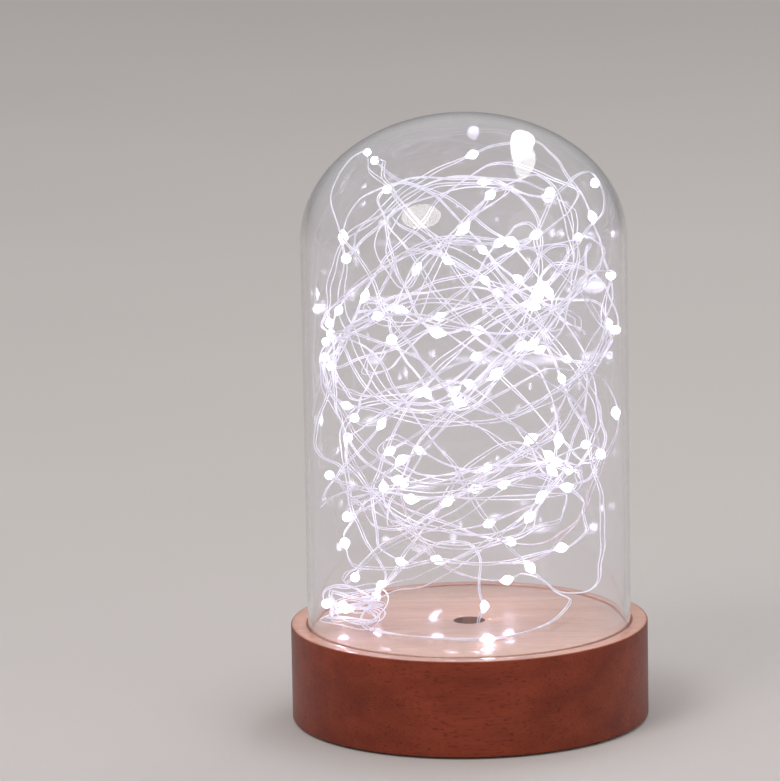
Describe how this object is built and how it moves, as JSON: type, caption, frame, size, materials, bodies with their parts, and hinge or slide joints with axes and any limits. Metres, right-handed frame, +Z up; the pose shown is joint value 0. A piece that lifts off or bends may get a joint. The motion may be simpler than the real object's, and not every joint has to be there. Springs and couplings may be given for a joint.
{
  "type": "led lantern",
  "caption": "Cordless table lantern: a clear glass dome stands in a grooved round wood base, over a tangled wire of white LED beads fed by cells under the base.",
  "frame": {"origin": "on the surface the lantern stands on, at the middle of its feet", "axes": "+Z up along the dome's axis; -Y towards the viewer of the picture, +X to the right; the board and the switch are on the +X side, the battery door's hinge on the -Y side"},
  "size_m": [0.12, 0.12, 0.2048],
  "materials": {
    "beech": "fine-sanded, thin clear oil",
    "dome_glass": "clear, polished",
    "wire_coating": "clear coat over silver wire",
    "resin_bead": "clear resin drop, lit white",
    "foot_rubber": "matt",
    "case_plastic": "fine texture",
    "door_plastic": "fine texture",
    "screw_steel": "zinc plated",
    "cell_sleeve": "printed shrink sleeve, plain",
    "contact_nickel": "nickel plated",
    "lead_red": "plain",
    "lead_black": "plain",
    "board_laminate": "green solder mask",
    "chip_black": "plain",
    "resistor_black": "plain",
    "capacitor_can": "satin",
    "switch_steel": "folded sheet",
    "slider_black": "plain"
  },
  "bodies": {
    "base": {"battery_1": "cell_sleeve", "battery_2": "cell_sleeve", "battery_3": "cell_sleeve", "battery_case": "case_plastic", "board_screw_1": "screw_steel", "board_screw_2": "screw_steel", "capacitor": "capacitor_can", "case_screw_1": "screw_steel", "case_screw_2": "screw_steel", "case_screw_3": "screw_steel", "case_screw_4": "screw_steel", "circuit_board": "board_laminate", "contact_bridge_front": "contact_nickel", "contact_bridge_rear": "contact_nickel", "contact_negative": "contact_nickel", "contact_positive": "contact_nickel", "driver_chip": "chip_black", "lead_negative": "lead_black", "lead_positive": "lead_red", "led_bead_01": "resin_bead", "led_bead_02": "resin_bead", "led_bead_03": "resin_bead", "led_bead_04": "resin_bead", "led_bead_05": "resin_bead", "led_bead_06": "resin_bead", "led_bead_07": "resin_bead", "led_bead_08": "resin_bead", "led_bead_09": "resin_bead", "led_bead_10": "resin_bead", "led_bead_11": "resin_bead", "led_bead_12": "resin_bead", "led_bead_13": "resin_bead", "led_bead_14": "resin_bead", "led_bead_15": "resin_bead", "led_bead_16": "resin_bead", "led_bead_17": "resin_bead", "led_bead_18": "resin_bead", "led_bead_19": "resin_bead", "led_bead_20": "resin_bead", "led_bead_21": "resin_bead", "light_wire": "wire_coating", "resistor": "resistor_black", "rubber_foot_1": "foot_rubber", "rubber_foot_2": "foot_rubber", "rubber_foot_3": "foot_rubber", "rubber_foot_4": "foot_rubber", "switch_body": "switch_steel", "wood_base": "beech"},
    "dome": {"glass_dome": "dome_glass"},
    "battery_door": {"battery_door": "door_plastic"},
    "switch_slider": {"switch_slider": "slider_black"}
  },
  "joints": [
    {"name": "dome_lift", "type": "slide", "parent": "base", "child": "dome", "axis": [0, 0, 1], "range_m": [0, 0.2]},
    {"name": "battery_door_hinge", "type": "hinge", "parent": "base", "child": "battery_door", "pos_m": [0, -0.02695, 0.0022], "axis": [-1, 0, 0], "range_deg": [0, 90]},
    {"name": "switch_slide", "type": "slide", "parent": "base", "child": "switch_slider", "axis": [0, -1, 0], "range_m": [0, 0.003]}
  ]
}
